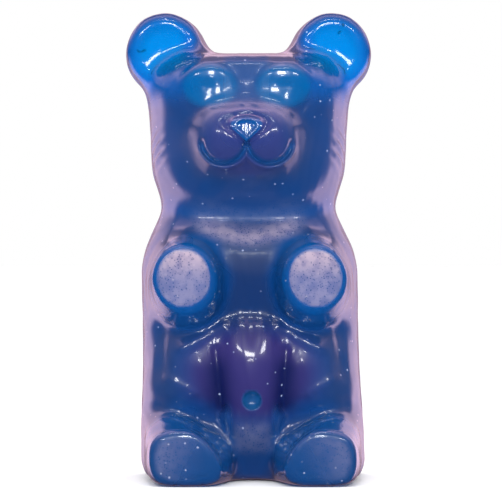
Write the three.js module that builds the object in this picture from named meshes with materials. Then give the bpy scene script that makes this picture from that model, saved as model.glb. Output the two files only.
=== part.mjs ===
// A giant gummy bear: one solid piece of fruit gel, cast face down in an open mould, so its back is flat
// but for the slight hollow of the poured surface, and its walls taper towards the front.
// Millimetres, +Z up, facing -Y, standing on its soles and seat with the origin under its middle.
//
// The form is a signed distance-like field, negative inside, built from moulded pillows, stubs and blobs
// that melt into each other. A surface net turns the field into a fine closed skin, which is then thinned.
// In the field, x runs to the bear's left, z is the height, and d is the depth measured forward from the back.
import * as THREE from 'three';
import { SimplifyModifier } from 'three/addons/modifiers/SimplifyModifier.js';

// ---- driving dimensions ----
const HEIGHT = 230.2;        // over the ears
const DEPTH = 93;            // from the flat back to the soles
const DRAFT = 0.055;         // how much the mould's walls lean in, per millimetre of depth
const LEAN = 0.0185;         // sideways drift of the lower body, per millimetre below the neck
const LEAN_FROM = 130;       // height where that drift begins
const FACE_SHIFT = 0.9;      // the face sits this far to one side of the head's middle
const BASE_EDGE = 4;         // rounding of the edge round the base
const BELOW = 4.6;           // the forms reach this far below the base, so that the cut leaves it truly flat
const BACK_EDGE = 3;         // rounding of the edge round the back
const MENISCUS = { depth: 1.4, start: 3, reach: 14 };  // the hollow of the back, inwards from its edge
const TRIANGLES = 9600;      // the thinned skin
const GEL = { color: '#1d3f86', roughness: 0.18, metalness: 0 };

const TORSO = { half: 54.3, hips: 1.4, hipsFrom: 66, hipsTo: 22, top: 133.5, shoulder: 33, seat: 15.1,
  band: 19, widest: 39, front: 59, chestFrom: 42, chestTo: 108, chestBand: 27, chestWidest: 27 };
// the slope from the chest up to the neck, hollowed at the middle like a bib
const YOKE = { z: 129, d: 60, tilt: 61, melt: 10, hollow: 8, hollowWidth: 21 };
const NECK = { half: 43.2, low: 100, high: 160, corner: 12, band: 24, widest: 21, front: 46, melt: 11 };
const HEAD = { half: 49.6, flare: 0.05, middle: 172, low: 124, high: 210.2, corner: 33,
  band: 27, widest: 25, front: 62, melt: 7, browBand: 7, browLow: 170, browHigh: 194, temple: 0.5 };
const EAR = { x: 41.1, z: HEIGHT - 20.5, radius: 20.5, band: 7, widest: 33, front: 40, melt: 9,
  root: { x: 33, d: 22, z: 191, rx: 13, rd: 34, rz: 15 }, rootMelt: 12,
  dish: { x: 42, z: 210.5, inner: 0, outer: 15, depth: 2 } };
const EYE = { x: 17.6, z: 191.4, rx: 14, rz: 10.8, front: 66.5, curve: 58, edge: 4, melt: 2.5 };
const PUPIL = { x: 19, z: 191, rx: 4, rz: 3, depth: 0.7 };
const SNOUT = { half: 28.5, low: 145.5, high: 186, corner: 19, band: 21, widest: 56, front: 79, melt: 10 };
const LOBE = { x: 9.8, d: 67, z: 164.8, rx: 12.6, rd: 14, rz: 12.8, power: 2.2, melt: 7 };
const MOUTH = { x: 10.86, z: 164.3, radius: 10.6, width: 1.1, depth: 1.9, lipOut: 2.5, lipWidth: 1.1, lip: 0.9 };
// a rounded triangle, point down: an arc over two straight sides that meet at the tip
const NOSE = { arc: { z: 159, radius: 16.4 }, tip: 163.6, sideX: 0.694, sideZ: 0.72, corner: 5,
  face: 80.4, faceZ: 170, lean: 0.24, edge: 0.8, melt: 0.8,
  rim: 0.8, rimWidth: 0.7, fold: 0.5, foldWidth: 1.2, moat: 0.9 };
const ARM = { root: { d: 55, x: 29, z: 95, rx: 20, rz: 24 }, tip: { d: 83, x: 31.4, z: 98.8, rx: 14.9, rz: 16.2 },
  power: 2, edge: 5, turnOut: -0.06, melt: 5 };
const CHEST = { d: 45, z: 103, rx: 32, rd: 17, rz: 24, power: 2.2, melt: 9 };
const BELLY = { x: 25, d: 43, z: 53, rx: 24, rd: 25, rz: 27, power: 2.2, melt: 5 };
const RIDGE = { d: 40, z: 46, rx: 24, rd: 33, rz: 43, power: 2.2, melt: 4, widen: 0.006, widenFrom: 52 };
const CLEFT = { width: 3, depth: 1, low: 60, high: 76 };
// lines on the front where the skin rises or sinks
const UNDER_ARM = { x: 33, z: 65, toX: 14, toZ: 76, width: 3, height: 1.6 };
const BESIDE_RIM = { x: 44.5, z: 34, toX: 42, toZ: 76, width: 3, height: -1.3 };
const CREASE = { x: 14.5, z: 36, toX: 17, toZ: 64, width: 2, height: -1.1 };
const HIP_FOLD = { x: 41, z: 50, toX: 28, toZ: 43, width: 2.6, height: 1.2 };
const THIGH = { x: 34.5, d: 47, z: 44.5, rx: 14.5, rd: 17.5, rz: 10, melt: 8 };
const LEG = { root: { d: 55, x: 31, z: 13.5, rx: 23.5, rz: 23.5 },
  tip: { d: DEPTH, x: 31.7, z: 13, rx: 17.4, rz: 13.4 },
  power: 2.6, edge: 4.5, half: 52.8, corner: 16.1, melt: 7 };
// the top of the leg slopes down to the inside: a line through x, z with that slope, at its root and at its tip
const LEG_TOP = { root: { x: 39.5, z: 36.5, slope: 0.4 }, tip: { x: 21, z: 22.3, slope: 1.2 }, edge: 6 };
const NAVEL = { d: 72.5, z: 40, radius: 4.3, creaseWidth: 1.6, creaseDepth: 0.9 };

// ---- field arithmetic ----
const clamp01 = (t) => Math.min(Math.max(t, 0), 1);
const mix = (a, b, t) => a + (b - a) * t;
const bell = (t, width) => Math.exp(-((t / width) ** 2));

function smoothStep(from, to, t) {
  const u = clamp01((t - from) / (to - from));
  return u * u * (3 - 2 * u);
}

function join(a, b, melt) {
  const h = Math.max(melt - Math.abs(a - b), 0) / melt;
  return Math.min(a, b) - h * h * melt * 0.25;
}

const meet = (a, b, melt) => -join(-a, -b, melt);
const carve = (a, b, melt) => meet(a, -b, melt);

// the norm of that power of (u/ru, v/rv, w/rw), less one, over its slope: nearly a distance
function rounded(power, u, ru, v, rv, w = 0, rw = rv) {
  const a = Math.abs(u) / ru;
  const b = Math.abs(v) / rv;
  const c = Math.abs(w) / rw;
  const norm = (a ** power + b ** power + c ** power) ** (1 / power) + 1e-6;
  const p = power - 1;
  const slope = Math.hypot(a ** p / ru, b ** p / rv, c ** p / rw) * norm ** -p;
  return (norm - 1) / Math.max(slope, 0.3 / Math.max(ru, rv, rw));
}

const blob = (x, d, z, s, power = 2) => rounded(power, x - (s.x ?? 0), s.rx, d - s.d, s.rd, z - s.z, s.rz);

// a rounded rectangle seen from the front
function frame(x, z, half, low, high, corner) {
  const qx = Math.abs(x) - (half - corner);
  const qz = Math.abs(z - (low + high) / 2) - ((high - low) / 2 - corner);
  return Math.hypot(Math.max(qx, 0), Math.max(qz, 0)) + Math.min(Math.max(qx, qz), 0) - corner;
}

// a moulded form with a given outline: its wall leans in, then curves over a band to its front
function pillow(outline, d, s, draft = DRAFT) {
  const inset = outline + draft * Math.min(d, s.widest);
  const rise = s.front - s.widest;
  return rounded(2, Math.max(inset + s.band, 0), s.band, Math.max(d - s.widest, 0), rise);
}

// a tapering limb that points forward, with a flat end and a rounded edge
function stub(x, d, z, s, turnOut = 0) {
  const t = Math.min(Math.max((d - s.root.d) / (s.tip.d - s.root.d), -0.5), 1.2);
  const at = (key) => mix(s.root[key], s.tip[key], t);
  const wall = rounded(s.power, x - at('x'), at('rx'), z - at('z'), at('rz'));
  return meet(wall, d - s.tip.d + turnOut * (x - s.tip.x), s.edge);
}

// ---- the bear's parts: each takes the field so far and melts its own form into it ----
function torso(x, d, z) {
  const half = TORSO.half + TORSO.hips * smoothStep(TORSO.hipsFrom, TORSO.hipsTo, z);
  const shoulders = frame(x, z, half, -60, TORSO.top, TORSO.shoulder);
  const seat = frame(x, z, half, -BELOW, 300, TORSO.seat);
  const upper = smoothStep(TORSO.chestFrom, TORSO.chestTo, z);
  const band = mix(TORSO.band, TORSO.chestBand, upper);
  const widest = mix(TORSO.widest, TORSO.chestWidest, upper);
  return pillow(Math.max(shoulders, seat), d, { band, widest, front: TORSO.front });
}

// cuts the front back along the slope up to the neck
function yoke(f, x, d, z) {
  const tilt = THREE.MathUtils.degToRad(YOKE.tilt);
  const low = YOKE.hollow * bell(x, YOKE.hollowWidth);
  return meet(f, (d - YOKE.d) * Math.cos(tilt) + (z - YOKE.z + low) * Math.sin(tilt), YOKE.melt);
}

function head(f, x, d, z) {
  const neck = pillow(frame(x, z, NECK.half, NECK.low, NECK.high, NECK.corner), d, NECK);
  const half = HEAD.half + HEAD.flare * (z - HEAD.middle);
  const brow = smoothStep(HEAD.browLow, HEAD.browHigh, z) * (1 - HEAD.temple * smoothStep(20, 42, x));
  const skull = pillow(frame(x, z, half, HEAD.low, HEAD.high, HEAD.corner), d,
    { band: mix(HEAD.band, HEAD.browBand, brow), widest: HEAD.widest, front: HEAD.front });
  return join(join(f, neck, NECK.melt), skull, HEAD.melt);
}

function ears(f, x, d, z) {
  const disc = pillow(Math.hypot(x - EAR.x, z - EAR.z) - EAR.radius, d, EAR);
  const rooted = join(disc, blob(x, d, z, EAR.root), EAR.rootMelt);
  const fromDish = Math.hypot(x - EAR.dish.x, z - EAR.dish.z);
  const dish = EAR.dish.depth * smoothStep(EAR.dish.outer, EAR.dish.inner, fromDish) * smoothStep(28, 35, d);
  return join(f, rooted + dish, EAR.melt);
}

function eyes(f, x, d, z) {
  const fromMiddle = Math.hypot((x - EYE.x) / EYE.rx, (z - EYE.z) / EYE.rz);
  const dome = d - EYE.front + ((x - EYE.x) ** 2 + (z - EYE.z) ** 2) / EYE.curve;
  const fromPupil = Math.hypot((x - PUPIL.x) / PUPIL.rx, (z - PUPIL.z) / PUPIL.rz);
  const dimple = PUPIL.depth * bell(fromPupil, 1);
  const eye = meet((fromMiddle - 1) * EYE.rz, dome + dimple, EYE.edge);
  return join(f, Math.max(eye, 35 - d), EYE.melt);
}

function muzzle(f, x, d, z) {
  const block = pillow(frame(x, z, SNOUT.half, SNOUT.low, SNOUT.high, SNOUT.corner), d, SNOUT, 0);
  const lobed = join(join(f, block, SNOUT.melt), blob(x, d, z, LOBE, LOBE.power), LOBE.melt);
  const atFront = smoothStep(65, 75, d);
  const ring = Math.hypot(x - MOUTH.x, z - MOUTH.z) - MOUTH.radius;
  const groove = MOUTH.depth * bell(ring, MOUTH.width) * smoothStep(166.5, 162, z);
  const lip = MOUTH.lip * bell(ring - MOUTH.lipOut, MOUTH.lipWidth) * smoothStep(163, 158, z);
  return lobed + (groove - lip) * atFront;
}

// a button in a moat, with a raised rim and a face that leans back at the top and is folded down its middle
function nose(f, x, d, z) {
  const arc = Math.hypot(x, z - NOSE.arc.z) - NOSE.arc.radius;
  const side = x * NOSE.sideX - (z - NOSE.tip) * NOSE.sideZ;
  const outline = meet(arc, side, NOSE.corner);
  const rim = NOSE.rim * bell(outline + 1.1, NOSE.rimWidth);
  const face = d - NOSE.face + NOSE.lean * (z - NOSE.faceZ) - rim + NOSE.fold * bell(x, NOSE.foldWidth);
  const button = Math.max(meet(outline, face, NOSE.edge), 68 - d);
  const moat = NOSE.moat * bell(outline - 1.6, 1.2) * smoothStep(65, 75, d);
  return join(f + moat, button, NOSE.melt);
}

// the arms and legs sink into the body towards its back, so that their roots leave no step on its side walls
function arms(f, x, d, z) {
  return join(f, stub(x, d, z, ARM, ARM.turnOut) + 2 * ARM.melt * smoothStep(48, 24, d), ARM.melt);
}

// how far the skin rises, or sinks, along a line on the front
function fold(x, z, s) {
  const run = s.toX - s.x;
  const rise = s.toZ - s.z;
  const t = clamp01(((x - s.x) * run + (z - s.z) * rise) / (run ** 2 + rise ** 2));
  return s.height * bell(Math.hypot(x - s.x - run * t, z - s.z - rise * t), s.width);
}

// the chest, and a belly of two soft lobes with a ridge between them
function trunk(f, x, d, z) {
  const chested = join(f, blob(x, d, z, CHEST, CHEST.power), CHEST.melt);
  const lobed = join(chested, blob(x, d, z, BELLY, BELLY.power), BELLY.melt);
  const spread = 1 + RIDGE.widen * (z - RIDGE.widenFrom);
  const ridged = join(lobed, blob(x / spread, d, z, RIDGE, RIDGE.power), RIDGE.melt);
  const folds = fold(x, z, UNDER_ARM) + fold(x, z, BESIDE_RIM) + fold(x, z, CREASE) + fold(x, z, HIP_FOLD);
  const cleft = CLEFT.depth * bell(x, CLEFT.width) * smoothStep(CLEFT.low, CLEFT.high, z) * smoothStep(98, 86, z);
  return ridged + (cleft - folds) * smoothStep(44, 52, d);
}

function legs(f, x, d, z) {
  const t = clamp01((d - LEG.root.d) / (LEG.tip.d - LEG.root.d));
  const slope = mix(LEG_TOP.root.slope, LEG_TOP.tip.slope, t);
  const fall = mix(LEG_TOP.root.x, LEG_TOP.tip.x, t) - x;
  const above = (z - mix(LEG_TOP.root.z, LEG_TOP.tip.z, t) + slope * fall) / Math.hypot(1, slope);
  const limb = meet(stub(x, d, z, LEG), above, LEG_TOP.edge);
  const inside = meet(limb, frame(x, z, LEG.half, -BELOW, 300, LEG.corner), 3);
  const sunk = inside + 2 * LEG.melt * smoothStep(48, 8, d);
  return join(join(f, blob(x, d, z, THIGH), THIGH.melt), sunk, LEG.melt);
}

function navel(f, x, d, z) {
  const ball = Math.hypot(x, d - NAVEL.d, z - NAVEL.z) - NAVEL.radius;
  const along = smoothStep(36, 33, z) * smoothStep(20, 26, z) * smoothStep(61, 65, d);
  return carve(f, ball, 1) + NAVEL.creaseDepth * bell(x, NAVEL.creaseWidth) * along;
}

function bear(x, y, z) {
  const d = DEPTH / 2 - y;
  const across = x - LEAN * Math.max(LEAN_FROM - z, 0);
  const side = Math.abs(across);
  const face = Math.abs(across + FACE_SHIFT);
  let f = yoke(trunk(torso(side, d, z), side, d, z), side, d, z);
  f = head(f, side, d, z);
  f = ears(f, side, d, z);
  f = eyes(f, face, d, z);
  f = muzzle(f, face, d, z);
  f = nose(f, face, d, z);
  f = arms(f, side, d, z);
  f = legs(f, side, d, z);
  f = navel(f, side, d, z);
  const hollow = MENISCUS.depth * smoothStep(-MENISCUS.start, -MENISCUS.reach, f);
  return meet(meet(f, -z, BASE_EDGE), hollow - d, BACK_EDGE);
}

// ---- the skin ----
// grid planes from low to high, finer between two of them
function planes(low, high, coarse, fineLow, fineHigh, fine) {
  const list = [low];
  while (list.at(-1) < high) {
    const last = list.at(-1);
    list.push(last + (last >= fineLow && last < fineHigh ? fine : coarse));
  }
  return list;
}

// one vertex in each grid cell that the surface crosses, and a quad across each grid edge that it cuts
function surfaceNet(field, xs, ys, zs) {
  const [nx, ny, nz] = [xs.length, ys.length, zs.length];
  const at = (i, j, k) => (i * ny + j) * nz + k;
  const value = new Float64Array(nx * ny * nz);
  for (let i = 0; i < nx; i++)
    for (let j = 0; j < ny; j++)
      for (let k = 0; k < nz; k++) value[at(i, j, k)] = field(xs[i], ys[j], zs[k]);

  const vertexOf = new Int32Array(nx * ny * nz).fill(-1);
  const points = [];
  const corners = [0, 1, 2, 3, 4, 5, 6, 7].map((c) => [c & 1, (c >> 1) & 1, c >> 2]);
  const edges = [];
  for (let a = 0; a < 8; a++)
    for (const bit of [1, 2, 4]) if (!(a & bit)) edges.push([a, a | bit]);
  for (let i = 0; i < nx - 1; i++)
    for (let j = 0; j < ny - 1; j++)
      for (let k = 0; k < nz - 1; k++) {
        const v = corners.map(([a, b, c]) => value[at(i + a, j + b, k + c)]);
        const inside = v.filter((f) => f < 0).length;
        if (inside === 0 || inside === 8) continue;
        const sum = new THREE.Vector3();
        let count = 0;
        for (const [a, b] of edges) {
          if (v[a] < 0 === v[b] < 0) continue;
          const t = v[a] / (v[a] - v[b]);
          const place = (axis, list, n) => mix(list[n + corners[a][axis]], list[n + corners[b][axis]], t);
          sum.add(new THREE.Vector3(place(0, xs, i), place(1, ys, j), place(2, zs, k)));
          count++;
        }
        vertexOf[at(i, j, k)] = points.length;
        points.push(sum.divideScalar(count));
      }

  const triangles = [];
  const addQuad = (quad, outward) => {
    const [a, b, c, d] = outward ? quad : quad.toReversed();
    const short = points[a].distanceToSquared(points[c]) < points[b].distanceToSquared(points[d]);
    if (short) triangles.push(a, b, c, a, c, d);
    else triangles.push(a, b, d, b, c, d);
  };
  for (let i = 1; i < nx - 1; i++)
    for (let j = 1; j < ny - 1; j++)
      for (let k = 1; k < nz - 1; k++) {
        const here = value[at(i, j, k)] < 0;
        const cell = (a, b, c) => vertexOf[at(i - a, j - b, k - c)];
        if (here !== value[at(i + 1, j, k)] < 0)
          addQuad([cell(0, 1, 1), cell(0, 0, 1), cell(0, 0, 0), cell(0, 1, 0)], here);
        if (here !== value[at(i, j + 1, k)] < 0)
          addQuad([cell(1, 0, 1), cell(1, 0, 0), cell(0, 0, 0), cell(0, 0, 1)], here);
        if (here !== value[at(i, j, k + 1)] < 0)
          addQuad([cell(1, 1, 0), cell(0, 1, 0), cell(0, 0, 0), cell(1, 0, 0)], here);
      }
  return { points, triangles };
}

// moves each point along the field's slope until it lies on the surface
function settle(field, points) {
  const h = 0.05;
  for (let round = 0; round < 3; round++)
    for (const p of points) {
      const slope = new THREE.Vector3(
        field(p.x + h, p.y, p.z) - field(p.x - h, p.y, p.z),
        field(p.x, p.y + h, p.z) - field(p.x, p.y - h, p.z),
        field(p.x, p.y, p.z + h) - field(p.x, p.y, p.z - h),
      ).divideScalar(2 * h);
      p.addScaledVector(slope, -field(p.x, p.y, p.z) / Math.max(slope.lengthSq(), 0.25));
    }
}

// presses the base truly flat
function flattenBase(points) {
  for (const p of points) if (Math.abs(p.z) < 0.05) p.z = 0;
}

// stands the bear over the origin
function squareUp(geometry) {
  geometry.computeBoundingBox();
  const middle = geometry.boundingBox.getCenter(new THREE.Vector3());
  geometry.translate(-middle.x, -middle.y, -geometry.boundingBox.min.z);
}

const skin = surfaceNet(
  bear,
  planes(-65, 65, 2, -31, 31, 1.1),
  planes(-50, 50, 2, -40, -12, 1.4),
  planes(-3.1, HEIGHT + 4, 2, 148, 204, 1.1),
);
settle(bear, skin.points);
flattenBase(skin.points);

let bearGeometry = new THREE.BufferGeometry().setFromPoints(skin.points);
bearGeometry.setIndex(skin.triangles);
const surplus = skin.points.length - Math.round(TRIANGLES / 2);
bearGeometry = await new SimplifyModifier().modify(bearGeometry, surplus);
squareUp(bearGeometry);
bearGeometry.computeVertexNormals();

const gummyBear = new THREE.Mesh(bearGeometry, new THREE.MeshStandardMaterial(GEL));
gummyBear.name = 'gummy_bear';

const model = new THREE.Group();
model.add(gummyBear);

export default model;
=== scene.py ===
"""The looks of a giant gummy bear: one casting of blue fruit gel, lit in a white studio.

The bear is cast face down in an open mould and stood up, so its back is flat but for the slight hollow of
the poured surface. Its form is the field that the solid is made from, meshed more finely and with the wobble
and the small marks that a gel casting shows. Each point also carries marks for the material, some of which
lay painted glow, painted shade and a painted sheen over the gel's colour. Forms are in millimetres here;
x runs to the bear's left, z is the height, and d is the depth forward from the back. Blender gets metres.
"""
import math
import bpy
import numpy as np
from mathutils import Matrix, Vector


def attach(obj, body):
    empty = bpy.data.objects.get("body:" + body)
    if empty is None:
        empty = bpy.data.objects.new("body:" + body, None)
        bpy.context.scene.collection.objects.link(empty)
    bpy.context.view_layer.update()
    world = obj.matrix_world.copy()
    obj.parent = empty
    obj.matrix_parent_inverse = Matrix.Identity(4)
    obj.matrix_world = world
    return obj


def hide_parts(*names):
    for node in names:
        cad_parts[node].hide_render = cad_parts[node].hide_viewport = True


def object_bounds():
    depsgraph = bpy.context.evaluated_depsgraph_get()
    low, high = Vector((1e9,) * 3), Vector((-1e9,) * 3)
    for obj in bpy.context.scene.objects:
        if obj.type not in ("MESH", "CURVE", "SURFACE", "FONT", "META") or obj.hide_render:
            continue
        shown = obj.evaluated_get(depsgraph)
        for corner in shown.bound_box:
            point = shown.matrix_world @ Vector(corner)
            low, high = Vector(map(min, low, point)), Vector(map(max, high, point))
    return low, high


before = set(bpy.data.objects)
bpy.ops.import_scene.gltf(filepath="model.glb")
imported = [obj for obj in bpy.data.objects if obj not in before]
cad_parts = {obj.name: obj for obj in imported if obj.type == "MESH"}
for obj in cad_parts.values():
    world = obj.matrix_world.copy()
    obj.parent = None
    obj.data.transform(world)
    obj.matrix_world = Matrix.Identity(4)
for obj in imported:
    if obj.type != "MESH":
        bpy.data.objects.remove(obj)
cad_low, cad_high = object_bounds()

# ---- driving dimensions, mm; a pair is where something starts to show and where it shows fully ----
DEPTH = 93.0            # from the flat back to the soles
HEIGHT = 230.2          # over the ears, before the skin is fitted to the solid's box
DRAFT = 0.055           # how much the mould's walls lean in, per millimetre of depth
LEAN = 0.0185           # sideways drift of the lower body, per millimetre below the neck
LEAN_FROM = 130.0
FACE_SHIFT = 0.9        # the face sits this far to one side of the head's middle
BASE_EDGE = 4.0
BACK_EDGE = 3.0
BELOW = 4.6             # the forms reach this far below the base, so that the cut leaves it flat
FAR_DOWN = -60          # an outline ends here where only its upper corners count,
FAR_UP = 300            # and here where only its lower ones do
MENISCUS = dict(depth=1.4, start=3.0, reach=14.0)
TORSO = dict(half=54.3, hips=1.4, hips_z=(66, 22), top=133.5, shoulder=33, seat=15.1, front=59,
             band=19, widest=39, chest_z=(42, 108), chest_band=27, chest_widest=27)
NECK = dict(half=43.2, low=100, high=160, corner=12, band=24, widest=21, front=46, melt=11)
HEAD = dict(half=49.6, flare=0.05, middle=172, low=124, high=210.2, corner=33, front=62, melt=7,
            band=27, widest=25, brow_band=7, brow_z=(170, 194), temple=0.5, temple_x=(20, 42))
EAR = dict(x=41.1, z=HEIGHT - 20.5, radius=20.5, band=7, widest=33, front=40, melt=9)
EAR_ROOT = dict(x=33, d=22, z=191, rx=13, rd=34, rz=15, melt=12)
EAR_DISH = dict(x=42, z=210.5, radius=15, depth=2.0, hollow_d=(28, 35))
EYE = dict(x=17.6, z=191.4, rx=14.0, rz=10.8, root=35, front=66.5, curve=58, edge=4.0, melt=2.5)
PUPIL = dict(x=19, z=191, rx=4, rz=3, depth=0.7)
SNOUT = dict(half=28.5, low=145.5, high=186, corner=19, band=21, widest=56, front=79, melt=10)
SNOUT_D = (65, 75)      # the mouth and the nose's moat are cut from here forward
LOBE = dict(x=9.8, d=67, z=164.8, rx=12.6, rd=14, rz=12.8, power=2.2, melt=7)
MOUTH = dict(x=10.86, z=164.3, radius=10.6, width=1.1, depth=1.9, groove_z=(166.5, 162),
             lip=0.9, lip_out=2.5, lip_width=1.1, lip_z=(163, 158))
NOSE = dict(arc_z=159.0, radius=16.4, tip=163.6, side_x=0.694, side_z=0.72, corner=5.0, root=68,
            face=80.4, face_z=170, lean=0.24, edge=0.8, melt=0.8, rim=0.8, rim_in=1.1, rim_width=0.7,
            fold=0.5, fold_width=1.2, moat=0.9, moat_out=1.6, moat_width=1.2)
ARM_ROOT = dict(d=55, x=29, z=95, rx=20, rz=24)
ARM_TIP = dict(d=83, x=31.4, z=98.8, rx=14.9, rz=16.2)
ARM = dict(power=2, edge=5, turn_out=-0.06, melt=5, sunk_d=(48, 24))
CHEST = dict(d=45, z=103, rx=32, rd=17, rz=24, power=2.2, melt=9)
YOKE = dict(z=129, d=60, tilt=61, melt=10, hollow=8, hollow_width=21)
BELLY = dict(x=25, d=43, z=53, rx=24, rd=25, rz=27, power=2.2, melt=5)
RIDGE = dict(d=40, z=46, rx=24, rd=33, rz=43, power=2.2, melt=4, widen=0.006, widen_from=52)
CLEFT = dict(width=3.0, depth=1.0, low_z=(60, 76), high_z=(98, 86))
UNDER_ARM = dict(x=33, z=65, to_x=14, to_z=76, width=3.0, height=1.6)
BESIDE_RIM = dict(x=44.5, z=34, to_x=42, to_z=76, width=3, height=-1.3)
CREASE = dict(x=14.5, z=36, to_x=17, to_z=64, width=2.0, height=-1.1)
HIP_FOLD = dict(x=41, z=50, to_x=28, to_z=43, width=2.6, height=1.2)
FOLD_D = (44, 52)       # the folds and the cleft show from here forward
THIGH = dict(x=34.5, d=47, z=44.5, rx=14.5, rd=17.5, rz=10, melt=8)
LEG_ROOT = dict(d=55, x=31, z=13.5, rx=23.5, rz=23.5)
LEG_TIP = dict(d=DEPTH, x=31.7, z=13, rx=17.4, rz=13.4)
LEG = dict(power=2.6, edge=4.5, turn_out=0.0, half=52.8, corner=16.1, wall_edge=3, melt=7, sunk_d=(48, 8))
LEG_TOP_ROOT = dict(x=39.5, z=36.5, slope=0.4)      # the top of the leg slopes down to the inside
LEG_TOP_TIP = dict(x=21, z=22.3, slope=1.2)
LEG_TOP_EDGE = 6
NAVEL = dict(d=72.5, z=40, radius=4.3, edge=1, crease_width=1.6, crease_depth=0.9,
             crease_high=(36, 33), crease_low=(20, 26), crease_d=(61, 65))
SKIN = dict(wave=0.08, ripple=0.045, calm_z=(1, 8))     # how far the skin wobbles, over the calm base
PRESSED = dict(height=0.45, z=161, rz=9, y=5, ry=8, wall_x=(38, 44))    # the marks on the cheeks' side walls


# ---- field arithmetic: negative inside, nearly a distance ----
def bell(t, width):
    """1 at nought, and fading to nought on both sides over about twice the width."""
    return np.exp(-(t / width) ** 2)


def step(start, end, t):
    """Nought up to the start, 1 from the end on and eased between; the end may lie below the start."""
    u = np.clip((t - start) / (end - start), 0, 1)
    return u * u * (3 - 2 * u)


def join(a, b, melt):
    """Both forms, melted into each other over that width."""
    h = np.maximum(melt - np.abs(a - b), 0) / melt
    return np.minimum(a, b) - h * h * melt * 0.25


def meet(a, b, melt):
    """What lies in both forms, with a rounded edge between them."""
    return -join(-a, -b, melt)


def rounded(power, u, ru, v, rv, w=0.0, rw=None):
    """Nearly the distance to a rounded form with those radii; a higher power makes it squarer."""
    rw = rv if rw is None else rw
    a = np.abs(u) / ru
    b = np.abs(v) / rv
    c = np.abs(w) / rw
    if power == 2:
        norm = np.sqrt(a * a + b * b + c * c) + 1e-6
    else:
        norm = (a ** power + b ** power + c ** power) ** (1 / power) + 1e-6
    p = power - 1
    # the steepness has a floor, so that the field stays moderate near the form's middle
    steepness = np.sqrt((a ** p / ru) ** 2 + (b ** p / rv) ** 2 + (c ** p / rw) ** 2) * norm ** -p
    return (norm - 1) / np.maximum(steepness, 0.3 / np.maximum(np.maximum(ru, rv), rw))


def blob(x, d, z, s, power=2):
    return rounded(power, x - s.get("x", 0), s["rx"], d - s["d"], s["rd"], z - s["z"], s["rz"])


def outline(x, z, half, low, high, corner):
    """A rounded rectangle seen from the front."""
    qx = np.abs(x) - (half - corner)
    qz = np.abs(z - (low + high) / 2) - ((high - low) / 2 - corner)
    return np.hypot(np.maximum(qx, 0), np.maximum(qz, 0)) + np.minimum(np.maximum(qx, qz), 0) - corner


def pillow(edge, d, s, draft=DRAFT):
    """A moulded form with a given outline: its wall leans in, then curves over a band to its front."""
    inset = edge + draft * np.minimum(d, s["widest"])
    rise = s["front"] - s["widest"]
    return rounded(2, np.maximum(inset + s["band"], 0), s["band"], np.maximum(d - s["widest"], 0), rise)


def stub(x, d, z, root, tip, s):
    """A tapering limb that points forward, with a flat end and a rounded edge."""
    # the taper goes on a little beyond both ends
    t = np.clip((d - root["d"]) / (tip["d"] - root["d"]), -0.5, 1.2)
    at = {key: root[key] + (tip[key] - root[key]) * t for key in ("x", "z", "rx", "rz")}
    wall = rounded(s["power"], x - at["x"], at["rx"], z - at["z"], at["rz"])
    return meet(wall, d - tip["d"] + s["turn_out"] * (x - tip["x"]), s["edge"])


# ---- the bear's parts: each takes the field so far and melts its own form into it ----
def torso(x, d, z):
    half = TORSO["half"] + TORSO["hips"] * step(*TORSO["hips_z"], z)
    shoulders = outline(x, z, half, FAR_DOWN, TORSO["top"], TORSO["shoulder"])
    seat = outline(x, z, half, -BELOW, FAR_UP, TORSO["seat"])
    upper = step(*TORSO["chest_z"], z)
    band = TORSO["band"] + (TORSO["chest_band"] - TORSO["band"]) * upper
    widest = TORSO["widest"] + (TORSO["chest_widest"] - TORSO["widest"]) * upper
    return pillow(np.maximum(shoulders, seat), d, dict(band=band, widest=widest, front=TORSO["front"]))


def fold(x, z, s):
    """How far the skin rises, or sinks, along a line on the front."""
    run, rise = s["to_x"] - s["x"], s["to_z"] - s["z"]
    t = np.clip(((x - s["x"]) * run + (z - s["z"]) * rise) / (run ** 2 + rise ** 2), 0, 1)
    return s["height"] * bell(np.hypot(x - s["x"] - run * t, z - s["z"] - rise * t), s["width"])


def trunk(f, x, d, z):
    """The chest, and a belly of two soft lobes with a ridge between them."""
    chested = join(f, blob(x, d, z, CHEST, CHEST["power"]), CHEST["melt"])
    lobed = join(chested, blob(x, d, z, BELLY, BELLY["power"]), BELLY["melt"])
    spread = 1 + RIDGE["widen"] * (z - RIDGE["widen_from"])
    ridged = join(lobed, blob(x / spread, d, z, RIDGE, RIDGE["power"]), RIDGE["melt"])
    folds = sum(fold(x, z, line) for line in (UNDER_ARM, BESIDE_RIM, CREASE, HIP_FOLD))
    cleft = CLEFT["depth"] * bell(x, CLEFT["width"]) * step(*CLEFT["low_z"], z) * step(*CLEFT["high_z"], z)
    return ridged + (cleft - folds) * step(*FOLD_D, d)


def over_yoke(x, z):
    """The height above the yoke's line, which sags at the middle like a bib."""
    return z - YOKE["z"] + YOKE["hollow"] * bell(x, YOKE["hollow_width"])


def yoke(f, x, d, z):
    """The slope from the chest up to the neck."""
    tilt = math.radians(YOKE["tilt"])
    return meet(f, (d - YOKE["d"]) * math.cos(tilt) + over_yoke(x, z) * math.sin(tilt), YOKE["melt"])


def head(f, x, d, z):
    neck = pillow(outline(x, z, NECK["half"], NECK["low"], NECK["high"], NECK["corner"]), d, NECK)
    half = HEAD["half"] + HEAD["flare"] * (z - HEAD["middle"])
    top = step(*HEAD["brow_z"], z) * (1 - HEAD["temple"] * step(*HEAD["temple_x"], x))
    band = HEAD["band"] + (HEAD["brow_band"] - HEAD["band"]) * top
    skull = pillow(outline(x, z, half, HEAD["low"], HEAD["high"], HEAD["corner"]), d,
                   dict(band=band, widest=HEAD["widest"], front=HEAD["front"]))
    return join(join(f, neck, NECK["melt"]), skull, HEAD["melt"])


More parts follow.
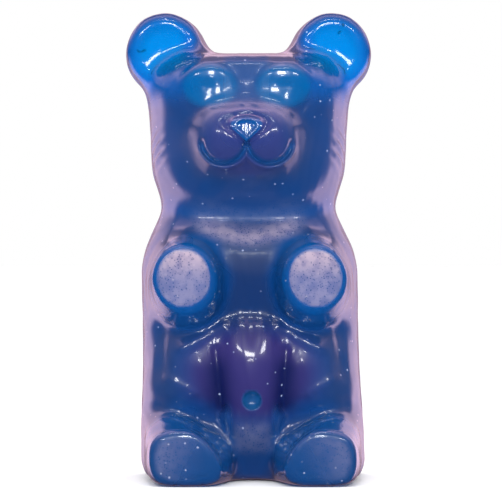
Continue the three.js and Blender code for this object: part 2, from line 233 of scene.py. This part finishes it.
def ears(f, x, d, z):
    disc = pillow(np.hypot(x - EAR["x"], z - EAR["z"]) - EAR["radius"], d, EAR)
    rooted = join(disc, blob(x, d, z, EAR_ROOT), EAR_ROOT["melt"])
    from_dish = np.hypot(x - EAR_DISH["x"], z - EAR_DISH["z"])
    dish = EAR_DISH["depth"] * step(EAR_DISH["radius"], 0, from_dish) * step(*EAR_DISH["hollow_d"], d)
    return join(f, rooted + dish, EAR["melt"])


def eyes(f, x, d, z):
    from_middle = np.hypot((x - EYE["x"]) / EYE["rx"], (z - EYE["z"]) / EYE["rz"])
    dome = d - EYE["front"] + ((x - EYE["x"]) ** 2 + (z - EYE["z"]) ** 2) / EYE["curve"]
    pupil = bell(np.hypot((x - PUPIL["x"]) / PUPIL["rx"], (z - PUPIL["z"]) / PUPIL["rz"]), 1)
    eye = meet((from_middle - 1) * EYE["rz"], dome + PUPIL["depth"] * pupil, EYE["edge"])
    return join(f, np.maximum(eye, EYE["root"] - d), EYE["melt"])


def from_mouth(x, z):
    """How far outside the mouth's line a place is, seen from the front."""
    return np.hypot(x - MOUTH["x"], z - MOUTH["z"]) - MOUTH["radius"]


def muzzle(f, x, d, z):
    """A block and two lobes before it, with the mouth's W-shaped groove and a lip under the groove."""
    block = pillow(outline(x, z, SNOUT["half"], SNOUT["low"], SNOUT["high"], SNOUT["corner"]), d, SNOUT, 0)
    lobed = join(join(f, block, SNOUT["melt"]), blob(x, d, z, LOBE, LOBE["power"]), LOBE["melt"])
    groove = MOUTH["depth"] * bell(from_mouth(x, z), MOUTH["width"]) * step(*MOUTH["groove_z"], z)
    under = bell(from_mouth(x, z) - MOUTH["lip_out"], MOUTH["lip_width"])
    lip = MOUTH["lip"] * under * step(*MOUTH["lip_z"], z)
    return lobed + (groove - lip) * step(*SNOUT_D, d)


def nose_edge(x, z):
    """The nose seen from the front: a rounded triangle, point down."""
    arc = np.hypot(x, z - NOSE["arc_z"]) - NOSE["radius"]
    side = x * NOSE["side_x"] - (z - NOSE["tip"]) * NOSE["side_z"]
    return meet(arc, side, NOSE["corner"])


def nose(f, x, d, z):
    """A button in a moat: it has a raised rim, and its face leans back and is folded down the middle."""
    edge = nose_edge(x, z)
    face = d - NOSE["face"] + NOSE["lean"] * (z - NOSE["face_z"])
    rim = NOSE["rim"] * bell(edge + NOSE["rim_in"], NOSE["rim_width"])
    folded = face - rim + NOSE["fold"] * bell(x, NOSE["fold_width"])
    button = np.maximum(meet(edge, folded, NOSE["edge"]), NOSE["root"] - d)
    moat = NOSE["moat"] * bell(edge - NOSE["moat_out"], NOSE["moat_width"]) * step(*SNOUT_D, d)
    return join(f + moat, button, NOSE["melt"])


def grown(f, limb, s, d):
    """The body with a limb, whose root sinks away inside so that no seam shows on the side walls."""
    return join(f, limb + 2 * s["melt"] * step(*s["sunk_d"], d), s["melt"])


def arms(f, x, d, z):
    return grown(f, stub(x, d, z, ARM_ROOT, ARM_TIP, ARM), ARM, d)


def legs(f, x, d, z):
    t = np.clip((d - LEG_ROOT["d"]) / (LEG_TIP["d"] - LEG_ROOT["d"]), 0, 1)
    top = {key: LEG_TOP_ROOT[key] + (LEG_TOP_TIP[key] - LEG_TOP_ROOT[key]) * t for key in LEG_TOP_TIP}
    above = (z - top["z"] + top["slope"] * (top["x"] - x)) / np.sqrt(1 + top["slope"] ** 2)
    limb = meet(stub(x, d, z, LEG_ROOT, LEG_TIP, LEG), above, LEG_TOP_EDGE)
    inside = meet(limb, outline(x, z, LEG["half"], -BELOW, FAR_UP, LEG["corner"]), LEG["wall_edge"])
    return grown(join(f, blob(x, d, z, THIGH), THIGH["melt"]), inside, LEG, d)


def navel(f, x, d, z):
    """A round dimple, with a short crease under it."""
    ball = np.sqrt(x ** 2 + (d - NAVEL["d"]) ** 2 + (z - NAVEL["z"]) ** 2) - NAVEL["radius"]
    along = step(*NAVEL["crease_high"], z) * step(*NAVEL["crease_low"], z) * step(*NAVEL["crease_d"], d)
    return meet(f, -ball, NAVEL["edge"]) + NAVEL["crease_depth"] * bell(x, NAVEL["crease_width"]) * along


def wobble(x, y, z):
    """The unevenness of a gel casting: long soft waves, short upright ones and the pressed cheeks."""
    # the rates are radians per millimetre, unlike enough that the waves never fall in step
    waves = np.sin(0.31 * x + 0.23 * z + 0.6) * np.sin(0.27 * z - 0.19 * x)
    waves = waves + np.sin(0.35 * y + 0.21 * z + 1.7)
    across = 0.71 * x + 0.55 * y + 1.1 * np.sin(0.13 * z + 0.21 * x)
    ripples = np.sin(across) * np.sin(0.17 * z + 1.9 * np.sin(0.29 * x + 0.4))
    pressed = np.sin(1.1 * z + 0.5 * y) * bell(z - PRESSED["z"], PRESSED["rz"])
    pressed = pressed * bell(y - PRESSED["y"], PRESSED["ry"]) * step(*PRESSED["wall_x"], np.abs(x))
    return SKIN["wave"] * waves + SKIN["ripple"] * ripples + PRESSED["height"] * pressed


def places(x, y, z):
    """The depth, the place across the body, and how far it is from the body's middle and from the face's."""
    across = x - LEAN * np.maximum(LEAN_FROM - z, 0)
    return DEPTH / 2 - y, across, np.abs(across), np.abs(across + FACE_SHIFT)


def bear(x, y, z):
    """The whole bear, symmetric but for its lean, its shifted face and the wobble, and cut flat below."""
    d, across, side, face = places(x, y, z)
    f = torso(side, d, z)
    for part in (trunk, yoke, head, ears):
        f = part(f, side, d, z)
    for part in (eyes, muzzle, nose):
        f = part(f, face, d, z)
    for part in (arms, legs, navel):
        f = part(f, side, d, z)
    f = f + wobble(across, y, z) * step(*SKIN["calm_z"], z)
    hollow = MENISCUS["depth"] * step(-MENISCUS["start"], -MENISCUS["reach"], f)
    return meet(meet(f, -z, BASE_EDGE), hollow - d, BACK_EDGE)


# ---- the skin ----
def planes(low, high, coarse, *finer):
    """Grid planes from low to high. A finer zone is a start, an end and a spacing, and the last one wins."""
    levels = [low]
    while levels[-1] < high:
        spacing = coarse
        for start, end, fine in finer:
            if start <= levels[-1] < end:
                spacing = fine
        levels.append(levels[-1] + spacing)
    return np.array(levels)


def surface_net(field, grid):
    """A point in each grid cell that the surface crosses, and a quad across each grid edge that it cuts."""
    value = np.empty([len(g) for g in grid], np.float32)
    slab = 8        # planes at a time, to spare memory
    for i in range(0, len(grid[0]), slab):
        place = np.meshgrid(grid[0][i:i + slab], grid[1], grid[2], indexing="ij")
        value[i:i + slab] = field(*[p.astype(np.float32) for p in place])
    inside = value < 0
    n = np.array(value.shape) - 1
    corners = [(i, j, k) for i in (0, 1) for j in (0, 1) for k in (0, 1)]
    count = sum(inside[i:i + n[0], j:j + n[1], k:k + n[2]].astype(np.int8) for i, j, k in corners)
    cells = np.argwhere((count > 0) & (count < 8))
    index = np.full(n, -1)
    index[tuple(cells.T)] = np.arange(len(cells))
    # each cell's point is the mean of the places where the surface cuts its twelve edges
    total = np.zeros((len(cells), 3))
    crossings = np.zeros((len(cells), 1))
    for axis in range(3):
        b, c = [a for a in range(3) if a != axis]
        for s, t in ((0, 0), (0, 1), (1, 0), (1, 1)):
            near = cells.copy()
            near[:, b] += s
            near[:, c] += t
            far = near.copy()
            far[:, axis] += 1
            f_near, f_far = value[tuple(near.T)], value[tuple(far.T)]
            cut = ((f_near < 0) != (f_far < 0))[:, None]
            share = (f_near / np.where(f_near == f_far, 1, f_near - f_far))[:, None]
            p_near = np.stack([grid[a][near[:, a]] for a in range(3)], 1)
            p_far = np.stack([grid[a][far[:, a]] for a in range(3)], 1)
            total += np.where(cut, p_near + (p_far - p_near) * share, 0)
            crossings += cut
    # each quad joins the points of the four cells round a cut edge, turned so that it faces outwards
    quads = []
    for axis in range(3):
        b, c = (axis + 1) % 3, (axis + 2) % 3
        first = inside.take(range(n[axis]), axis)
        second = inside.take(range(1, n[axis] + 1), axis)
        edges = np.argwhere(first != second)
        edges = edges[(edges[:, b] > 0) & (edges[:, c] > 0) & (edges[:, b] < n[b]) & (edges[:, c] < n[c])]
        ring = []
        for s, t in ((1, 1), (0, 1), (0, 0), (1, 0)):
            cell = edges.copy()
            cell[:, b] -= s
            cell[:, c] -= t
            ring.append(index[tuple(cell.T)])
        ring = np.stack(ring, 1)
        turn = ~first[tuple(edges.T)]
        ring[turn] = ring[turn][:, ::-1]
        quads.append(ring)
    return total / crossings, np.concatenate(quads)


def gradient(field, points, h=0.05):
    """How steeply the field rises each way at each point."""
    parts = []
    for axis in range(3):
        shift = np.zeros(3)
        shift[axis] = h
        parts.append((field(*(points + shift).T) - field(*(points - shift).T)) / (2 * h))
    return np.stack(parts, 1)


def settle(field, points, rounds=3):
    """Moves each point down or up the field's gradient until it lies on the surface."""
    # the squared gradient has a floor, so that no point jumps where the field is nearly level
    for _ in range(rounds):
        g = gradient(field, points)
        points = points - g * (field(*points.T) / np.maximum((g * g).sum(1), 0.25))[:, None]
    return points


# ---- how the gel looks at each place ----
def marks(points):
    """The seven amounts that the material reads at each point; all but the roughness are shares of 1."""
    # each step shows from its first place on and fully at its second, in millimetres or shares of a radius
    d, across, side, face = places(*points.T)
    z = points[:, 2]
    from_ear = np.hypot(side - EAR["x"], z - EAR["z"]) / EAR["radius"]
    from_eye = np.hypot((face - EYE["x"]) / EYE["rx"], (z - EYE["z"]) / EYE["rz"])
    from_pad = np.hypot((side - ARM_TIP["x"]) / ARM_TIP["rx"], (z - ARM_TIP["z"]) / ARM_TIP["rz"])
    from_navel = np.hypot(across, z - NAVEL["z"]) / NAVEL["radius"]
    in_sole = -rounded(LEG["power"], side - LEG_TIP["x"], LEG_TIP["rx"], z - LEG_TIP["z"], LEG_TIP["rz"])
    ring = from_mouth(face, z)
    shelf = over_yoke(side, z)

    # thin_glow: a painted glow of light through the thin gel, in the ears inside their rims, fading to
    # painted shade at the rims, in the eyes and in the navel
    above_root = step(190, 203, z + 0.35 * (side - EAR["x"])) * step(26, 34, side)
    ear = (1.0 - 0.85 * step(0.5, 0.95, from_ear)) * above_root
    eye = 0.85 * step(1.15, 0.8, from_eye) * step(60, 64, d)
    hole = 0.7 * step(1.3, 0.9, from_navel) * step(60, 64, d)
    thin_glow = np.clip(ear + eye + hole, 0, 1)

    # matt_and_sheen: the matt paw pads, paler at their tops as painted light, a painted sheen on the bib on
    # the yoke, palest at its lower edge, a painted sheen on the soles to the outside, and the crotch
    pad_height = (z - ARM_TIP["z"]) / 16
    pad = (0.58 + 0.42 * step(-0.2, 0.8, pad_height)) * step(0.88, 0.8, from_pad) * step(79, 81, d)
    bib = step(-10, -3, shelf) * (0.74 - 0.62 * step(-3, 6, shelf)) * step(14, 8, shelf) * step(32, 18, side)
    sole = 0.32 * step(8, 40, side + 0.6 * z - 18) * step(1.5, 4.5, in_sole) * step(88, 91, d)
    crotch = 0.3 * step(11, 6, side) * step(12, 18, z) * step(32, 24, z) * step(56, 60, d)
    matt_and_sheen = pad + bib * step(44, 48, d) + sole + crotch

    # backlit_glow: a painted glow of light from behind on the limbs, the groove of the mouth, the brow with
    # the ears, the nose, and a little on its bridge
    arm = step(1.8, 1.1, from_pad) * step(50, 62, d)
    leg = step(42, 32, z) * step(58, 72, d) * step(8, 13, side) * (1 - 0.45 * step(86, 92, d))
    smile = 0.8 * bell(ring, 1.3) * step(165, 161, z) * step(66, 74, d)
    brow = step(181, 197, z + 0.25 * (side - 30)) * step(20, 30, side)
    button = step(0.6, -0.4, nose_edge(face, z)) * step(72, 76, d)
    bridge = step(13, 8, face) * step(181, 186, z) * step(209, 205, z) * step(52, 56, d)
    painted_backlight = arm * (1 - 0.6 * pad) + leg + smile + brow + 0.9 * button + 0.4 * bridge
    backlit_glow = np.clip(painted_backlight, 0, 1) * (1 - thin_glow)

    # thick_shade: painted violet shade where the gel is thick, on the belly and the muzzle
    belly = step(1.15, 0.6, np.hypot(side / 38, (z - 53) / 27)) * step(48, 58, d)
    lobes = 0.7 * step(1.2, 0.6, np.hypot(face / 24, (z - 163) / 20)) * step(62, 70, d)
    thick_shade = np.clip(belly + lobes, 0, 1) * (1 - thin_glow) * (1 - backlit_glow)

    # folded: painted shade in the creases beside the belly's ridge, on the breast between the arms and on
    # the rims of the ears
    creases = bell(side - 16 - 0.1 * (z - 50), 6) * step(30, 38, z) * step(66, 54, z)
    breast = 0.4 * step(24, 8, side) * step(64, 76, z) * step(120, 106, z)
    ear_rim = step(0.55, 0.9, from_ear) * step(200, 210, z)
    folded = (creases + breast) * step(50, 56, d) + 0.6 * ear_rim

    # the wettest skin is on the ears, the brow, the tip of the nose, the eyes and the limbs; the cheeks, the
    # edges of the yoke and the bridge of the nose are duller
    tip = step(2.5, 0.5, np.hypot(face / 7, (z - 171) / 6)) * step(70, 75, d)
    wet = np.clip(above_root + brow + tip + 0.6 * eye + 0.7 * arm + 0.6 * leg, 0, 1)
    wall = step(34, 42, side) * (1 - wet)
    cheek = bell(ring - 6, 5) * step(172, 164, z) * step(142, 148, z) * step(58, 64, d)
    edge_of_shelf = step(-24, -14, shelf) * step(2, -4, shelf) * step(32, 22, side)
    crest = step(2, 6, shelf) * step(15, 10, shelf) * step(36, 22, side) * step(38, 44, d)
    soft = np.clip(edge_of_shelf + crest + 0.8 * bridge, 0, 1)
    dull = np.clip(matt_and_sheen + 0.6 * (cheek + soft), 0, 1)
    glaze = np.clip(1 - 0.7 * matt_and_sheen - 0.8 * brow - 0.7 * arm - 0.9 * soft - 0.6 * cheek, 0.06, 1)
    return {"thin_glow": thin_glow, "backlit_glow": backlit_glow, "thick_shade": thick_shade, "folded": folded, "matt_and_sheen": matt_and_sheen,
            "roughness": 0.3 + 0.12 * wall - 0.18 * wet + 0.3 * dull, "glaze": glaze}


# ---- the scene's objects and materials ----
def put(name, data):
    """A new object in the scene."""
    made = bpy.data.objects.new(name, data)
    bpy.context.scene.collection.objects.link(made)
    return made


def cast(name, field):
    """The bear's skin as a mesh, fitted to the solid's box, with its true normals."""
    # the grid's planes lie closer over the face, and closest at the nose
    across = planes(-66, 66, 1.55, (-31, 31, 0.85), (-10.5, 9, 0.55))
    forward = planes(-50, 50, 1.5, (-40, -20, 1.0))
    upward = planes(-3.1, 236, 1.55, (148, 204, 0.85), (160, 177, 0.55))
    points, quads = surface_net(field, (across, forward, upward))
    points = settle(field, points)
    normals = gradient(field, points)
    normals /= np.linalg.norm(normals, axis=1)[:, None]
    low, high = points.min(0), points.max(0)
    fitted = np.array(cad_low) + (points - low) / (high - low) * (np.array(cad_high) - np.array(cad_low))
    mesh = bpy.data.meshes.new(name)
    mesh.vertices.add(len(fitted))
    mesh.vertices.foreach_set("co", fitted.astype(np.float32).ravel())
    mesh.loops.add(quads.size)
    mesh.loops.foreach_set("vertex_index", quads.astype(np.int32).ravel())
    mesh.polygons.add(len(quads))
    mesh.polygons.foreach_set("loop_start", np.arange(0, quads.size, 4, dtype=np.int32))
    mesh.update(calc_edges=True)
    mesh.validate()
    mesh.shade_smooth()
    mesh.normals_split_custom_set_from_vertices(normals.astype(np.float32))
    for mark, amount in marks(points).items():
        mesh.attributes.new(mark, "FLOAT", "POINT").data.foreach_set("value", amount.astype(np.float32))
    return put(name, mesh)


def linear(code):
    """An sRGB hex colour as linear red, green, blue and full alpha."""
    parts = [int(code[i:i + 2], 16) / 255 for i in (1, 3, 5)]
    return [c / 12.92 if c <= 0.04045 else ((c + 0.055) / 1.055) ** 2.4 for c in parts] + [1]


def emptied(owner):
    """The node tree of a material or a world, cleared of the nodes that it starts with."""
    owner.use_nodes = True
    owner.node_tree.nodes.clear()
    return owner.node_tree


def add(tree, kind, inputs=None, stops=(), **settings):
    """Adds a node. Inputs are values or other nodes' outputs; stops are a ramp's places and greys."""
    made = tree.nodes.new(kind)
    for key, value in settings.items():
        setattr(made, key, value)
    for key, value in (inputs or {}).items():
        if isinstance(value, bpy.types.NodeSocket):
            tree.links.new(value, made.inputs[key])
        else:
            made.inputs[key].default_value = value
    if stops:
        made.color_ramp.interpolation = "EASE"
        for _ in stops[2:]:
            made.color_ramp.elements.new(0.5)
        for element, (place, grey) in zip(made.color_ramp.elements, stops):
            element.position = place
            element.color = [grey] * 3 + [1]
    return made


# how the dyed gel looks where it is plain, and the painted light over it: a painted glow where it is thin
# and where light comes from behind, painted shade where it is thick, and painted shade in its creases,
# between the arms and on the ears' rims
GEL = dict(plain="#2a62b4", thin_glow="#009cf4", backlit_glow="#1488f4", thick_shade="#39317a", folded="#141c5c")
DYE = dict(lets_through="#00dadf", density=150.0)       # takes the red out of light within two centimetres
# the matt flats' colours; on the bib, the tops of the pads and the soles they also serve as a painted sheen
MATT_AND_SHEEN = dict(fresh="#dac3d8", worn="#ae9ec2", pit="#454f8a")
AIR = "#bccbf2"         # the pale glint of a bubble
PIT = 0.0011            # metres between the pits in the matt flats; real ones are closer, too fine to show
BUBBLE = 0.0045         # metres between the small bubbles under the skin


def matt_skin_and_sheen(tree, place):
    """Gel that set against the mould's unpolished flats, partly a painted sheen: pale lilac, blotched, with
    small dark pits.
    """
    # a pit fills the middle of its cell, and shows only in the patches where the skin is worn
    pit = add(tree, "ShaderNodeTexVoronoi", {"Vector": place, "Scale": 1 / PIT})
    hollow = add(tree, "ShaderNodeMapRange", {"Value": pit.outputs["Distance"], "From Min": 0.22,
                                              "From Max": 0.34, "To Min": 1.0, "To Max": 0.0})
    worn = add(tree, "ShaderNodeTexNoise", {"Vector": place, "Scale": 1 / (4 * PIT), "Detail": 4.0})
    patchy = add(tree, "ShaderNodeMapRange", {"Value": worn.outputs["Fac"], "From Min": 0.36,
                                              "From Max": 0.54})
    pitted = add(tree, "ShaderNodeMath", {0: hollow.outputs["Result"], 1: patchy.outputs["Result"]},
                 operation="MULTIPLY")
    clouded = add(tree, "ShaderNodeMapRange", {"Value": worn.outputs["Fac"], "From Min": 0.42,
                                               "From Max": 0.62})
    skin = add(tree, "ShaderNodeMix", {0: clouded.outputs["Result"], 6: linear(MATT_AND_SHEEN["fresh"]),
                                       7: linear(MATT_AND_SHEEN["worn"])}, data_type="RGBA")
    return add(tree, "ShaderNodeMix", {0: pitted.outputs["Value"], 6: skin.outputs[2],
                                       7: linear(MATT_AND_SHEEN["pit"])}, data_type="RGBA").outputs[2]


def bubbles(tree, place, thin_glow):
    """Small round bubbles in some of the pattern's cells, fewer of them where the gel is thin."""
    cell = add(tree, "ShaderNodeTexVoronoi", {"Vector": place, "Scale": 1 / BUBBLE})
    speck = add(tree, "ShaderNodeMapRange", {"Value": cell.outputs["Distance"], "From Min": 0.08,
                                             "From Max": 0.14, "To Min": 1.0, "To Max": 0.0})
    # 45 cells in a hundred hold a bubble, and none do where the gel is thinnest
    empty = add(tree, "ShaderNodeMath", {0: thin_glow, 1: 0.45, 2: 0.55}, operation="MULTIPLY_ADD")
    filled = add(tree, "ShaderNodeMath", {0: cell.outputs["Color"], 1: empty.outputs["Value"]},
                 operation="GREATER_THAN")
    return add(tree, "ShaderNodeMath", {0: speck.outputs["Result"], 1: filled.outputs["Value"]},
               operation="MULTIPLY").outputs["Value"]


def fruit_gel():
    """Gelatine gum, poured hot into a polished mould, set and glazed: clear and blue, with a wet shine."""
    # the skin lets most light into a body whose dye takes the red out, so that the gel looks deep and not
    # painted; the glaze over it mirrors the studio sharply, but for the flats that the mould left matt
    material = bpy.data.materials.new("fruit_gel")
    tree = emptied(material)
    place = add(tree, "ShaderNodeTexCoord").outputs["Object"]
    mark = {}
    for name in ("thin_glow", "backlit_glow", "thick_shade", "folded", "matt_and_sheen", "roughness", "glaze"):
        mark[name] = add(tree, "ShaderNodeAttribute", attribute_name=name).outputs["Fac"]
    specks = bubbles(tree, place, mark["thin_glow"])
    # the plain blue takes painted light in turn: a painted glow in the thin gel and in the gel lit from
    # behind, painted shade where it is thick and in its creases, pale bubbles, and the matt flats with their
    # painted sheen
    tints = [(mark[name], linear(GEL[name])) for name in ("thin_glow", "backlit_glow", "thick_shade", "folded")]
    tints += [(specks, linear(AIR)), (mark["matt_and_sheen"], matt_skin_and_sheen(tree, place))]
    colour = linear(GEL["plain"])
    for share, tint in tints:
        colour = add(tree, "ShaderNodeMix", {0: share, 6: colour, 7: tint}, data_type="RGBA").outputs[2]
    # matt skin and bubbles take three quarters of the clearness that thick gel loses
    cloudy = add(tree, "ShaderNodeMath", {0: mark["matt_and_sheen"], 1: specks}, operation="MAXIMUM")
    opaque = add(tree, "ShaderNodeMath", {0: cloudy.outputs["Value"], 1: 0.75, 2: mark["thick_shade"]},
                 operation="MULTIPLY_ADD")
    clear = add(tree, "ShaderNodeMapRange", {"Value": opaque.outputs["Value"], "To Min": 0.8,
                                             "To Max": 0.45})
    body = add(tree, "ShaderNodeBsdfPrincipled", {
        "Base Color": colour,
        "Roughness": mark["roughness"],
        "IOR": 1.4,                     # gelatine gel with much sugar in it
        "Specular IOR Level": 0.3,
        "Transmission Weight": clear.outputs["Result"],
        "Coat Weight": mark["glaze"],
        "Coat Roughness": 0.09,         # a thin film of oil and wax, which draws the lamps a little soft
        "Coat IOR": 1.4,
    })
    dye = add(tree, "ShaderNodeVolumeAbsorption", {"Color": linear(DYE["lets_through"]),
                                                   "Density": DYE["density"]})
    add(tree, "ShaderNodeOutputMaterial", {"Surface": body.outputs["BSDF"], "Volume": dye.outputs["Volume"]})
    return material


# ---- studio: places in metres; a glow is stops of degrees from the tent's opening and radiance ----
# what the glaze mirrors of the tent's sides
SHINE = ((0, 0.02), (40, 0.1), (70, 0.35), (92, 1.5), (106, 3.3), (122, 3.6), (140, 2.4), (160, 1.6),
         (180, 1.4))
# and of its back wall
BACK_WALL = ((0, 0), (140, 0.0), (162, 0.4), (180, 0.5))
# what lights the gel from within, and what lights matt surfaces
SEEN_THROUGH = ((0, 0.5), (60, 0.6), (90, 1.2), (120, 1.6), (150, 3.8), (180, 4.4))
SPREAD = ((0, 0.9), (90, 1.2), (180, 1.2))
LILAC = "#ffd6ee"       # the tint of the cards and of the cloth, as the glaze mirrors them
# a card's ramps give places as shares of its depth and of its height, and shares of its radiance
CARD = dict(x=0.13, front=0.0, back=0.42, bottom=-0.10, top=0.215, radiance=2.9,
            along=((0.043, 0.0), (0.07, 0.35), (0.12, 1.0), (0.214, 0.66), (0.4, 0.42), (1.0, 0.2)),
            upward=((0.0, 0.0), (0.34, 1.0), (0.45, 1.0), (0.6, 0.84), (0.86, 0.96), (1.0, 0.0)))
CAMERA = dict(x=0.0012, distance=1.4835, height=0.1116, lens=218.5, sensor=36)   # the last two in mm
AIM = (0, 0, 0.12)      # what the lamps point at
LAMPS = (
    # name, place, width, height, radiance
    ("front_left", (-0.5, -0.9, 0.75), 0.30, 0.09, 26.0),
    ("front_right", (0.5, -0.9, 0.75), 0.30, 0.09, 26.0),
    ("over_the_camera", (0, -1.4, 0.56), 0.13, 0.08, 24.0),
    ("before_above", (0, -1.0, 0.70), 0.28, 0.20, 28.0),
    ("above", (0, -0.35, 0.95), 0.5, 0.04, 18.0),
)


def tent(tree, way, stops, below, dark_z=-0.4, full_z=0.05):
    """The tent's glow in a direction: its stops, dimmed to the share below as the direction turns down."""
    # the tent opens towards -Y, where the camera stands
    turned = add(tree, "ShaderNodeMath", {0: way.outputs["Y"]}, operation="ARCCOSINE")
    share = add(tree, "ShaderNodeMath", {0: turned.outputs["Value"], 1: math.pi}, operation="DIVIDE")
    opened = add(tree, "ShaderNodeMath", {0: 1.0, 1: share.outputs["Value"]}, operation="SUBTRACT")
    top = max(radiance for degrees, radiance in stops)
    glow = add(tree, "ShaderNodeValToRGB", {"Fac": opened.outputs["Value"]},
               [(degrees / 180, radiance / top) for degrees, radiance in stops])
    height = add(tree, "ShaderNodeMapRange", {"Value": way.outputs["Z"], "From Min": dark_z,
                                              "From Max": full_z, "To Min": below * top, "To Max": top})
    return add(tree, "ShaderNodeMath", {0: glow.outputs["Color"], 1: height.outputs["Result"]},
               operation="MULTIPLY").outputs["Value"]


def mirrored_tent(tree, way):
    """What the glaze mirrors of the tent: lit walls, with dark cloth over the back and at the far sides."""
    walls = tent(tree, way, SHINE, below=0.03, dark_z=0.05, full_z=0.45)
    behind = tent(tree, way, BACK_WALL, below=0.2)
    glow = add(tree, "ShaderNodeMath", {0: walls, 1: behind}, operation="MAXIMUM")
    upward = add(tree, "ShaderNodeMapRange", {"Value": way.outputs["Z"], "From Min": 0.4, "From Max": 0.6,
                                              "To Max": 0.85})
    rearward = add(tree, "ShaderNodeMapRange", {"Value": way.outputs["Y"], "From Min": 0.28,
                                                "From Max": 0.46})
    roof = add(tree, "ShaderNodeMath", {0: upward.outputs["Result"], 1: rearward.outputs["Result"]},
               operation="MULTIPLY")
    unroofed = add(tree, "ShaderNodeMath", {0: 1.0, 1: roof.outputs["Value"]}, operation="SUBTRACT")
    sideways = add(tree, "ShaderNodeMath", {0: way.outputs["X"]}, operation="ABSOLUTE")
    undraped = add(tree, "ShaderNodeMapRange", {"Value": sideways.outputs["Value"], "From Min": 0.55,
                                                "From Max": 0.85, "To Min": 1.0, "To Max": 0.25})
    for kept in (unroofed.outputs["Value"], undraped.outputs["Result"]):
        glow = add(tree, "ShaderNodeMath", {0: glow.outputs["Value"], 1: kept}, operation="MULTIPLY")
    return add(tree, "ShaderNodeMix", {0: 1.0, 6: glow.outputs["Value"], 7: linear(LILAC)},
               data_type="RGBA", blend_type="MULTIPLY").outputs[2]


def white_tent():
    """A white tent round the bear, open at the camera, with a glow of its own for each kind of ray."""
    world = bpy.data.worlds.new("white_tent")
    bpy.context.scene.world = world
    world.cycles.sampling_method = "NONE"      # each kind of ray then sees its own glow, and no other
    tree = emptied(world)
    place = add(tree, "ShaderNodeTexCoord")
    way = add(tree, "ShaderNodeSeparateXYZ", {"Vector": place.outputs["Generated"]})
    ray = add(tree, "ShaderNodeLightPath")
    glow = tent(tree, way, SPREAD, below=0.6)
    for kind, seen in (("Is Glossy Ray", mirrored_tent(tree, way)),
                       ("Is Transmission Ray", tent(tree, way, SEEN_THROUGH, below=0.3)),
                       ("Is Camera Ray", linear("#ffffff"))):
        mixed = add(tree, "ShaderNodeMix", {0: ray.outputs[kind], 6: glow, 7: seen}, data_type="RGBA")
        glow = mixed.outputs[2]
    white = add(tree, "ShaderNodeBackground", {"Color": glow})
    add(tree, "ShaderNodeOutputWorld", {"Surface": white.outputs["Background"]})


def table():
    """A wide sheet of uncoated paper, white and matt, so that it shows a soft shadow and no shine."""
    bpy.ops.mesh.primitive_plane_add(size=40, location=(0, 0, 0))
    floor = bpy.context.object
    floor.name = "floor"
    paper = bpy.data.materials.new("white_paper")
    paper.use_nodes = True
    shader = paper.node_tree.nodes["Principled BSDF"]
    shader.inputs["Base Color"].default_value = linear("#fafafb")
    shader.inputs["Roughness"].default_value = 0.9
    floor.data.materials.append(paper)
    floor.visible_glossy = False            # the tent's glow stands in for it in the glaze and in the gel
    floor.visible_transmission = False


def card(name, x):
    """A lit card beside the bear that only the shine shows, lower than the ears and brightest in front."""
    front, back, bottom, top = (CARD[key] for key in ("front", "back", "bottom", "top"))
    corners = [(x, front, bottom), (x, back, bottom), (x, back, top), (x, front, top)]
    mesh = bpy.data.meshes.new(name)
    mesh.from_pydata(corners, [], [(0, 1, 2, 3)])
    piece = put(name, mesh)
    material = bpy.data.materials.new(name)
    tree = emptied(material)
    place = add(tree, "ShaderNodeTexCoord")
    at = add(tree, "ShaderNodeSeparateXYZ", {"Vector": place.outputs["Object"]})
    along = add(tree, "ShaderNodeMapRange", {"Value": at.outputs["Y"], "From Min": front, "From Max": back})
    glow = add(tree, "ShaderNodeValToRGB", {"Fac": along.outputs["Result"]}, CARD["along"])
    up = add(tree, "ShaderNodeMapRange", {"Value": at.outputs["Z"], "From Min": bottom, "From Max": top})
    fade = add(tree, "ShaderNodeValToRGB", {"Fac": up.outputs["Result"]}, CARD["upward"])
    faded = add(tree, "ShaderNodeMath", {0: glow.outputs["Color"], 1: fade.outputs["Color"]},
                operation="MULTIPLY")
    tinted = add(tree, "ShaderNodeMix", {0: 1.0, 6: faded.outputs["Value"], 7: linear(LILAC)},
                 data_type="RGBA", blend_type="MULTIPLY")
    light = add(tree, "ShaderNodeEmission", {"Color": tinted.outputs[2], "Strength": CARD["radiance"]})
    add(tree, "ShaderNodeOutputMaterial", {"Surface": light.outputs["Emission"]})
    mesh.materials.append(material)
    piece.visible_camera = False
    piece.visible_diffuse = False
    piece.visible_transmission = False
    piece.visible_shadow = False


def softbox(name, at, width, height, radiance):
    """A lamp with a rectangular diffuser, which the camera doesn't see."""
    light = bpy.data.lights.new(name, "AREA")
    light.shape = "RECTANGLE"
    light.size = width
    light.size_y = height
    light.energy = radiance * math.pi * width * height
    lamp = put(name, light)
    lamp.location = at
    away = lamp.location - type(lamp.location)(AIM)
    lamp.rotation_euler = away.to_track_quat("Z", "Y").to_euler()
    lamp.visible_camera = False


def studio():
    """The tent, a white table, a lit card on each side of the bear and the lamps before and above it."""
    white_tent()
    table()
    card("card_left", -CARD["x"])
    card("card_right", CARD["x"])
    for lamp in LAMPS:
        softbox(*lamp)


def camera():
    """Level with the bear's middle and far enough that it shows almost square on."""
    data = bpy.data.cameras.new("camera")
    data.lens = CAMERA["lens"]
    data.sensor_width = CAMERA["sensor"]
    seen_from = put("camera", data)
    seen_from.location = (CAMERA["x"], -CAMERA["distance"], CAMERA["height"])
    seen_from.rotation_euler = (math.radians(90), 0, 0)
    bpy.context.scene.camera = seen_from


casting = cast("gummy_bear_casting", bear)
casting.data.materials.append(fruit_gel())
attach(casting, "root")
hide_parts("gummy_bear")
studio()
camera()
bpy.context.scene.view_settings.view_transform = "Standard"
